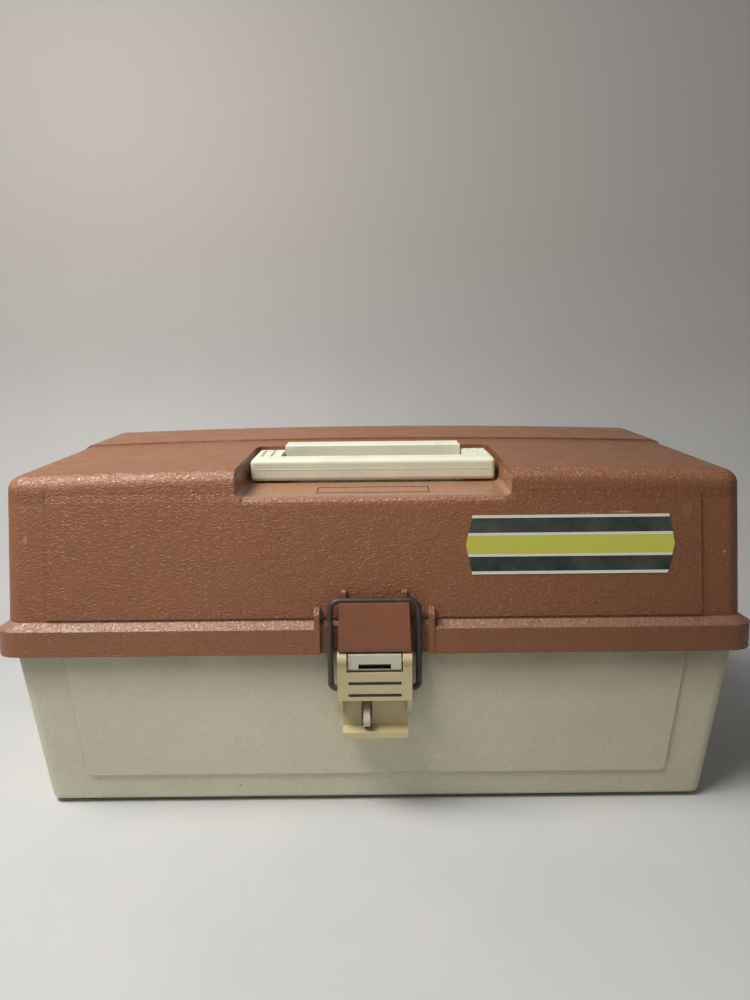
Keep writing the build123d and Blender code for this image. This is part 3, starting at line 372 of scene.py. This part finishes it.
def panel_fade(f):
    """1 on the slope in which the lid's front panel runs out, beside the recess."""
    x, y, z = f.axes()
    return f.all(
        f.above(f.math("ABSOLUTE", x), SLOPE_INNER_X),
        f.below(y, SLOPE_LIMIT_Y),
        f.span(z, SLOPE_LOW, SLOPE_LOW + SLOPE_EDGE),
        f.span(z, SLOPE_HIGH, SLOPE_HIGH + SLOPE_EDGE, 1.0, 0.0),
    )


def lid_polish_and_highlight(f):
    """Rounded upper edges of the lid without the slope of the front panel, for a lower roughness and a
    painted highlight.
    """
    return f.math("MULTIPLY", f.upper_edges(), f.range(panel_fade(f), 0.0, 1.0, 1.0, 0.0))


def spot(f, middle, reach):
    """1 in a ragged patch on the front, fading out to 0 at its rim."""
    x, y, z = f.axes()
    parts = []
    for value, centre, half in ((x, middle[0], reach[0]), (z, middle[1], reach[1])):
        share = f.math("MULTIPLY_ADD", value, 1.0 / (half * MM), -centre / half)
        parts.append(f.math("MULTIPLY", share, share))
    away = f.math("ADD", parts[0], parts[1])
    ragged = f.math("MULTIPLY_ADD", f.noise(700.0, 5.0, 0.75), 1.6, f.math("MULTIPLY", away, -1.0))
    return f.all(f.range(ragged, 0.35, 0.75), f.below(y, FRONT_LIMIT_Y))


def lid_scars_and_shade(f, tone):
    """Rubbed places above and beside the label and a pale nick near the corner, each with its share, then
    the lid's painted light and shade.
    """
    for middle, reach, share in (
        ((155.0, 197.2), (11.0, 1.0), 0.75),
        ((132.0, 196.6), (9.0, 0.7), 0.5),
        ((195.0, 198.0), (6.0, 7.5), 0.13),
        ((219.0, 171.5), (1.3, 1.8), 0.9),
        ((-217.0, 183.0), (2.5, 4.0), 0.35),
    ):
        tone = f.mix(f.math("MULTIPLY", spot(f, middle, reach), share), tone, RUBBED)
    return panel_step_shade(f, lid_light_and_shade(f, tone))


def lid_light_and_shade(f, tone):
    """Painted reflection on the recess, painted highlight on the shoulder, and painted shade that darkens
    the front towards its lower right and on the slope of its panel.
    """
    x, y, z = f.axes()
    # Painted reflection: the floor and walls of the recess are made paler.
    tone = f.mix(f.range(recess_mask(f), FAINT_GRAIN, 1.0, 0.6, 0.0), tone, RECESS_REFLECTION)
    # Painted highlight on the up-facing band of the shoulder.
    on_shoulder = f.within(z, SHOULDER_MIDDLE, SHOULDER_HALF_HEIGHT)
    ragged = f.range(f.noise(90.0, 5.0, 0.7), 0.3, 0.7, 0.12, 0.34)
    tone = f.mix(f.all(on_shoulder, f.range(f.upward(), 0.3, 0.7), ragged), tone, SHOULDER_HIGHLIGHT)
    # Painted shade: darker towards the bottom and the right, and on the slope of the front panel.
    low = f.span(z, 205.0, 120.0, 0.0, 0.17)
    right = f.span(x, 20.0, 230.0, 0.0, 0.42)
    front_shade = f.math("MULTIPLY_ADD", panel_fade(f), 0.22, f.math("ADD", low, right))
    return f.mix(front_shade, tone, LID_SHADE_BROWN)


def panel_step_shade(f, tone):
    """Painted shade in the step at the two ends of the lid's front panel."""
    x, y, z = f.axes()
    edge = f.math("MULTIPLY_ADD", z, LID_PANEL_LEAN, LID_PANEL_HALF_AT_GROUND * MM)
    line = f.math("COMPARE", f.math("ABSOLUTE", x), edge, 0.6 * MM)
    level = f.within(z, LID_PANEL_MIDDLE, LID_PANEL_HALF_HEIGHT)
    ragged = f.range(f.noise(300.0, 4.0, 0.7), 0.25, 0.6, 0.1, 0.3)
    return f.mix(f.all(line, f.below(y, LID_PANEL_LIMIT_Y), level, ragged), tone, LID_STEP_SHADE)


def base_specks_and_shade(f, tone):
    """A few dark specks on the front panel, a painted shadow under the skirt and painted shade towards the
    right.
    """
    specks = (((-90.5, 12.5), (1.3, 1.0)), ((68.0, 66.0), (1.0, 0.9)), ((150.0, 40.0), (0.8, 0.8)))
    for middle, reach in specks:
        tone = f.mix(f.math("MULTIPLY", spot(f, middle, reach), 0.7), tone, SPECK)
    x, y, z = f.axes()
    # Painted shadow of the skirt with a ragged lower edge, and painted shade towards the right.
    ragged = f.range(f.noise(30.0, 4.0), 0.3, 0.7, 0.3, 0.5)
    skirt_and_right_shade = f.math("MULTIPLY", f.span(z, 74.0, 104.0), ragged)
    skirt_and_right_shade = f.math("ADD", skirt_and_right_shade, f.span(x, -20.0, 230.0, 0.0, 0.34))
    skirt_and_right_shade = f.math("ADD", skirt_and_right_shade, f.span(z, 94.0, 110.0, 0.0, 0.16))
    return base_panel_step_shade(f, f.mix(skirt_and_right_shade, tone, SHADOW_TAN))


def base_panel_step_shade(f, tone):
    """Painted shade in the step along the ends and the foot of the base's front panel."""
    x, y, z = f.axes()
    away = f.math("ABSOLUTE", x)
    line_half = 0.55
    lean = (BASE_PANEL_HALF_TOP - BASE_PANEL_HALF_BOTTOM) / (BASE_PANEL_TOP - BASE_PANEL_BOTTOM)
    half_at_ground = BASE_PANEL_HALF_BOTTOM - lean * BASE_PANEL_BOTTOM
    edge = f.math("MULTIPLY_ADD", z, lean, half_at_ground * MM)
    corner_top = BASE_PANEL_BOTTOM + BASE_PANEL_CORNER
    ends = f.all(f.math("COMPARE", away, edge, line_half * MM), f.above(z, corner_top))
    foot_end = BASE_PANEL_HALF_BOTTOM - BASE_PANEL_CORNER
    foot = f.all(f.within(z, BASE_PANEL_BOTTOM, line_half), f.below(away, foot_end))
    ragged = f.range(f.noise(200.0, 4.0, 0.7), 0.25, 0.65, 0.12, 0.4)
    return f.mix(f.all(f.math("ADD", ends, foot), f.below(y, FRONT_LIMIT_Y), ragged), tone, BASE_STEP_SHADE)


def printed_lines(f, tone):
    """Two dark lines across the lever's front."""
    x, y, z = f.axes()
    front = f.below(y, LATCH_FACE_Y + LINE_DEPTH)
    across = f.below(f.math("ABSOLUTE", x), LINE_HALF_LENGTH)
    level = f.math("ADD", *(f.within(z, middle, LINE_HALF_HEIGHT) for middle in LINE_LEVELS))
    worn = f.range(f.noise(900.0, 4.0, 0.7), 0.3, 0.5, 0.8, 1.0)
    return f.mix(f.all(front, across, level, worn), tone, PRINT_BLACK)


def slot_shade(f, tone):
    """Painted shade inside the slot in the latch's block."""
    x, y, z = f.axes()
    deep = f.all(f.above(y, LATCH_FACE_Y + SLOT_FRONT), f.below(y, LATCH_FACE_Y + SLOT_REAR))
    across = f.below(f.math("ABSOLUTE", x), SLOT_HALF)
    level = f.within(z, SLOT_MIDDLE, SLOT_HALF_HEIGHT)
    return f.mix(f.all(deep, across, level), tone, SLOT_SHADE)


brown = grained_plastic(
    "brown_plastic", (0.305, 0.115, 0.047), grain=540.0, depth=0.47 * MM, roughness=0.33,
    wear_and_highlight_color=(0.48, 0.3, 0.21), smooth=recess_mask, edge_polish_and_highlight=lid_polish_and_highlight, scars_and_shade=lid_scars_and_shade,
)
tan = grained_plastic(
    "tan_plastic", (0.68, 0.65, 0.49), grain=600.0, depth=0.2 * MM, roughness=0.46,
    wear_and_highlight_color=(0.7, 0.68, 0.56), scars_and_shade=base_specks_and_shade,
)
catch_brown = smooth_plastic("catch_plastic", (0.225, 0.089, 0.045), 0.34, (0.06, 0.03, 0.02))
cream = smooth_plastic("cream_plastic", (0.83, 0.85, 0.7), 0.38)
lever = smooth_plastic(
    "lever_plastic", (0.59, 0.5, 0.285), 0.4, grime_and_shade=(0.3, 0.22, 0.13), grime_and_shade_share=0.15, marks=printed_lines
)
white = smooth_plastic("white_plastic", (0.61, 0.59, 0.46), 0.36, grime_and_shade_share=0.5, marks=slot_shade)
trays = smooth_plastic("tray_plastic", (0.6, 0.54, 0.38), 0.45)
dividers = smooth_plastic("divider_plastic", (0.64, 0.6, 0.46), 0.45)
steel = metal("steel", (0.6, 0.59, 0.56), 0.32, (0.28, 0.22, 0.16), 0.35)
strip = metal("arm_metal", (0.52, 0.52, 0.5), 0.36, (0.3, 0.27, 0.22), 0.3)
wire = coated_wire("bail_wire", (0.058, 0.047, 0.044), (0.27, 0.25, 0.23))
label = striped_label("label")
# Near-black brown for the recess outline: a painted shadow line.
shadow_brown = smooth_plastic("outline_shadow_plastic", (0.075, 0.028, 0.014), 0.5)

finish_of_slot = {
    "brown_plastic": brown, "tan_plastic": tan, "label": label, "cream_plastic": cream,
    "lever_plastic": lever, "white_plastic": white, "bail_wire": wire, "steel": steel,
    "tray_plastic": trays, "divider_plastic": dividers, "arm_metal": strip,
}


def dress(piece, finish):
    piece.data.materials.clear()
    piece.data.materials.append(finish.material)


for part in frame["record"]["subparts"]:
    dress(nodes[part["node"]], finish_of_slot[part["material_slot"]])
dress(nodes["lid_catch"], catch_brown)


def add_piece(name, form, body, slot):
    """A mesh piece that moves with a body and takes the finish of one of the record's slots."""
    bmesh.ops.recalc_face_normals(form, faces=form.faces)
    mesh = bpy.data.meshes.new(name)
    form.to_mesh(mesh)
    form.free()
    piece = bpy.data.objects.new(name, mesh)
    bpy.context.scene.collection.objects.link(piece)
    mesh.materials.append(finish_of_slot[slot].material)
    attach(piece, body)
    return piece


def on_lid_top(x, y, level):
    """Place on the lid's sloping top: level is measured along its normal from the edge line, in mm."""
    foot_z = TOP_EDGE_Z + (y - TOP_EDGE_Y) * math.tan(LID_SLOPE)
    return Vector((x, y - level * math.sin(LID_SLOPE), foot_z + level * math.cos(LID_SLOPE))) * MM


# Section of a ridge, as shares of its half width and of its height
RIDGE_SECTION = ((-1.0, -0.3), (-0.55, 0.8), (0.0, 1.0), (0.55, 0.8), (1.0, -0.3))


def ridge(form, points, side, up, width, height):
    """Low ridge with bevelled flanks along a line of points."""
    rows = []
    for point in points:
        rows.append([
            form.verts.new(point + side * (width / 2 * share) * MM + up * (height * rise) * MM)
            for share, rise in RIDGE_SECTION
        ])
    for first, second in zip(rows, rows[1:]):
        for place in range(len(first) - 1):
            form.faces.new((first[place], first[place + 1], second[place + 1], second[place]))
        form.faces.new((first[-1], first[0], second[0], second[-1]))
    for row in (rows[0], rows[-1]):
        form.faces.new(row)


# Directions on the lid's sloping top
TOP_UP = Vector((0, -math.sin(LID_SLOPE), math.cos(LID_SLOPE)))
TOP_REARWARD = Vector((0, math.cos(LID_SLOPE), math.sin(LID_SLOPE)))
RIGHTWARD = Vector((1, 0, 0))


def even_steps(start, end, steps):
    return [start + (end - start) * step / steps for step in range(steps + 1)]


def grip_line():
    """Fine parting ridge along the front of the grip, a little wavy and falling at its ends."""
    form = bmesh.new()
    half, line_level, width, height = 80.2, -3.9, 0.55, 0.16
    wave_height, wave_rate, end_length, end_fall = 0.05, 0.21, 1.2, 0.12
    points = []
    for x in even_steps(-half, half, 40):
        fall = max(0.0, abs(x) - half + end_length) * end_fall
        level = line_level + wave_height * math.sin(x * wave_rate) - fall
        points.append(on_lid_top(x, GRIP_FRONT_Y, level))
    ridge(form, points, TOP_UP, -TOP_REARWARD, width, height)
    add_piece("grip_parting_line", form, "handle", "cream_plastic")


def recess_outline():
    """Thin raised outline of a long rectangle on the floor of the recess, near-black as a painted shadow
    line.
    """
    form = bmesh.new()
    half, front, rear, width, height = 36.0, -93.5, -77.0, 0.9, 0.28
    for y in (front, rear):
        points = [on_lid_top(x, y, -RECESS_DEPTH) for x in even_steps(-half, half, 24)]
        ridge(form, points, TOP_REARWARD, TOP_UP, width, height)
    for x in (-half, half):
        points = [on_lid_top(x, y, -RECESS_DEPTH) for y in even_steps(front, rear, 8)]
        ridge(form, points, RIGHTWARD, TOP_UP, width, height)
    dress(add_piece("recess_outline", form, "lid", "brown_plastic"), shadow_brown)


# Radii of a screw head's rings and how far each stands proud, and the reach and arms of its cross slot
HEAD_PROFILE = ((4.0, -0.2), (4.0, 0.9), (3.4, 1.6), (2.2, 2.0), (1.0, 2.1))
HEAD_STEPS, CROSS_RADIUS, CROSS_ARMS = 24, 3.0, 4


def screw_head(form, side, y, z):
    """Domed cross-slotted head on the inner face of the guide plate on one side."""
    rings = []
    for radius, proud in HEAD_PROFILE:
        ring = []
        for step in range(HEAD_STEPS):
            turn = 2 * math.pi * step / HEAD_STEPS
            lobe = 0.5 * (1 + math.cos(CROSS_ARMS * turn))
            sink = lobe if radius < CROSS_RADIUS else 0.0
            x = side * (GUIDE_PLATE_X - proud + sink)
            rim = Vector((x, y + radius * math.cos(turn), z + radius * math.sin(turn)))
            ring.append(form.verts.new(rim * MM))
        rings.append(ring)
    for inner, outer in zip(rings, rings[1:]):
        for step in range(HEAD_STEPS):
            after = (step + 1) % HEAD_STEPS
            form.faces.new((inner[step], inner[after], outer[after], outer[step]))
    form.faces.new(rings[0])
    form.faces.new(rings[-1])


def guide_screw_heads():
    """Heads of the screws that hold the lid's guide plates."""
    form = bmesh.new()
    for side in (-1, 1):
        for y, z in GUIDE_SCREWS:
            screw_head(form, side, y, z)
    add_piece("guide_screws", form, "lid", "steel")


grip_line()
recess_outline()
guide_screw_heads()


def floor_finish():
    """Pale floor that darkens up the backdrop, clear from behind so that it hides nothing."""
    f = Finish("floor")
    tone = f.ramp(f.noise(9.0, 4.0), [(0.3, (0.55, 0.57, 0.58)), (0.7, (0.6, 0.61, 0.61))])
    wall = f.range(f.axes()[2], 0.02, 0.5)
    tone = f.mix(wall, tone, (0.45, 0.43, 0.41))
    f.set(Base_Color=tone, Roughness=0.6)
    clear = f.add("ShaderNodeBsdfTransparent")
    side = f.add("ShaderNodeNewGeometry")
    choose = f.add("ShaderNodeMixShader")
    f.feed(choose.inputs[0], side.outputs["Backfacing"])
    f.feed(choose.inputs[1], f.shader.outputs[0])
    f.feed(choose.inputs[2], clear.outputs[0])
    f.feed(f.output.inputs["Surface"], choose.outputs[0])
    return f


def sweep_floor():
    """Floor that curves up into a backdrop behind the box, in metres."""
    radius, rear, height, half, front, steps = 0.35, 0.62, 2.4, 4.5, -4.5, 12
    profile = [(front, 0.0), (rear - radius, 0.0)]
    for step in range(1, steps + 1):
        angle = math.radians(90 * step / steps)
        profile.append((rear - radius + radius * math.sin(angle), radius - radius * math.cos(angle)))
    profile.append((rear, height))
    mesh = bpy.data.meshes.new("floor")
    form = bmesh.new()
    rows = [[form.verts.new((x, y, z)) for x in (-half, half)] for y, z in profile]
    for (a, b), (c, d) in zip(rows, rows[1:]):
        form.faces.new((a, b, d, c))
    for face in form.faces:
        face.smooth = True
    form.to_mesh(mesh)
    form.free()
    floor = bpy.data.objects.new("floor", mesh)
    bpy.context.scene.collection.objects.link(floor)
    mesh.materials.append(floor_finish().material)


def area_light(name, place, target, size, power, color):
    data = bpy.data.lights.new(name, "AREA")
    data.shape = "RECTANGLE"
    data.size, data.size_y = size
    data.energy = power
    data.color = color
    lamp = bpy.data.objects.new(name, data)
    lamp.location = place
    lamp.rotation_euler = (Vector(target) - Vector(place)).to_track_quat("-Z", "Y").to_euler()
    bpy.context.scene.collection.objects.link(lamp)


# Lamps and camera, in metres, degrees and millimetres of film
BOX_MIDDLE = (0.0, 0.0, 0.15)
CAMERA_PLACE = (0.0004, -0.54805, 0.26796)
CAMERA_ANGLES = (8.0, 0.1, 0.565)
CAMERA_SENSOR, CAMERA_LENS = 36.0, 25.92


def set_camera():
    """Camera at the photograph's place, with its pitch, yaw and roll."""
    pitch, yaw, roll = (math.radians(angle) for angle in CAMERA_ANGLES)
    ahead = Vector((math.sin(yaw) * math.cos(pitch), math.cos(yaw) * math.cos(pitch), -math.sin(pitch)))
    side = Vector((math.cos(yaw), -math.sin(yaw), 0.0))
    above = side.cross(ahead)
    right = side * math.cos(roll) - above * math.sin(roll)
    up = right.cross(ahead)
    data = bpy.data.cameras.new("camera")
    data.sensor_width = CAMERA_SENSOR
    data.lens = CAMERA_LENS
    data.clip_start = 0.01
    camera = bpy.data.objects.new("camera", data)
    turn = Matrix((right, up, -ahead)).transposed().to_4x4()
    camera.matrix_world = Matrix.Translation(CAMERA_PLACE) @ turn
    bpy.context.scene.collection.objects.link(camera)
    bpy.context.scene.camera = camera


def set_world(color, strength):
    world = bpy.data.worlds.new("world")
    world.use_nodes = True
    background = world.node_tree.nodes["Background"]
    background.inputs["Color"].default_value = (*color, 1.0)
    background.inputs["Strength"].default_value = strength
    bpy.context.scene.world = world


sweep_floor()
area_light(
    "key", place=(-0.56, -0.42, 1.1), target=(-0.12, -0.06, 0.14), size=(0.8, 0.42),
    power=17.6, color=(1.0, 0.96, 0.91),
)
area_light(
    "fill", place=(0.8, -1.1, 0.7), target=BOX_MIDDLE, size=(0.8, 0.8),
    power=0.6, color=(1.0, 0.82, 0.66),
)
area_light(
    "back", place=(-0.4, 1.2, 1.5), target=BOX_MIDDLE, size=(1.0, 0.8),
    power=7.0, color=(1.0, 0.97, 0.93),
)
set_world(color=(0.94, 0.96, 1.0), strength=0.115)
set_camera()
bpy.context.scene.view_settings.view_transform = "Standard"
